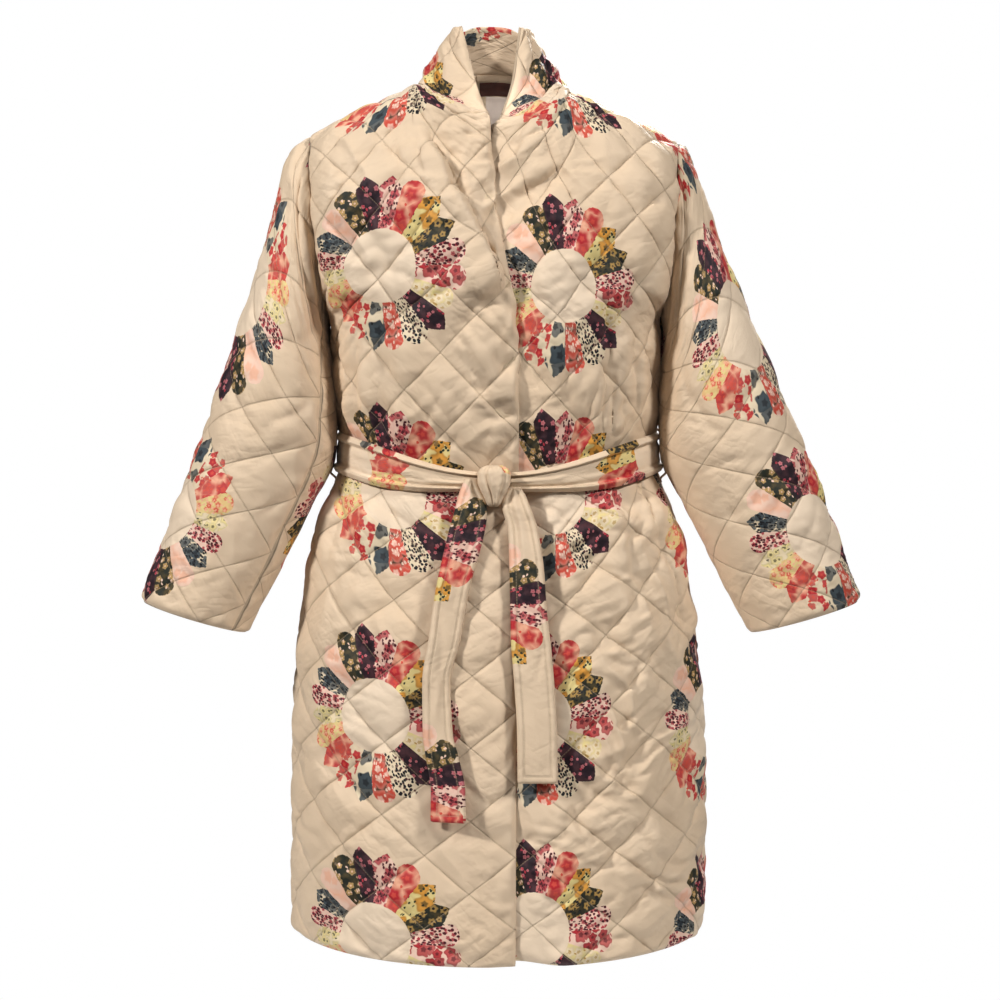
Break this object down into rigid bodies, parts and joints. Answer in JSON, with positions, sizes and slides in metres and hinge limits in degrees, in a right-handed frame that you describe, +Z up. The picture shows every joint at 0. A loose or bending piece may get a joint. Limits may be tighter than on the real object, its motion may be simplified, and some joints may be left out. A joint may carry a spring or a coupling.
{
  "type": "quilted coat",
  "caption": "Hollow quilted wrap coat in its worn shape, with a standing collar, long sleeves, patchwork ring print and a tie belt knotted at the front.",
  "frame": {"origin": "between the shoulders, at the height where the shoulder seams run into the collar", "axes": "+Z up, the front faces -Y, the wearer's right arm is at -X"},
  "size_m": [0.8201, 0.3561, 1.0755],
  "materials": {
    "printed_cloth": "cotton sateen quilted in diamonds, with printed patchwork rings",
    "belt_cloth": "the same cotton sateen, topstitched",
    "neck_tape_satin": "glossy dark brown tape",
    "label_cloth": "pale woven label, bare"
  },
  "bodies": {
    "root": {"front_right": "printed_cloth", "front_left": "printed_cloth", "back": "printed_cloth", "collar_back": "printed_cloth", "sleeve_right": "printed_cloth", "sleeve_left": "printed_cloth", "belt_front_right": "belt_cloth", "belt_front_left": "belt_cloth", "belt_back": "belt_cloth", "belt_knot": "belt_cloth", "belt_tail_right": "belt_cloth", "belt_tail_left": "belt_cloth", "belt_loop_right": "belt_cloth", "belt_loop_left": "belt_cloth", "neck_tape": "neck_tape_satin", "hanger_loop": "belt_cloth", "neck_label": "label_cloth"}
  },
  "joints": []
}
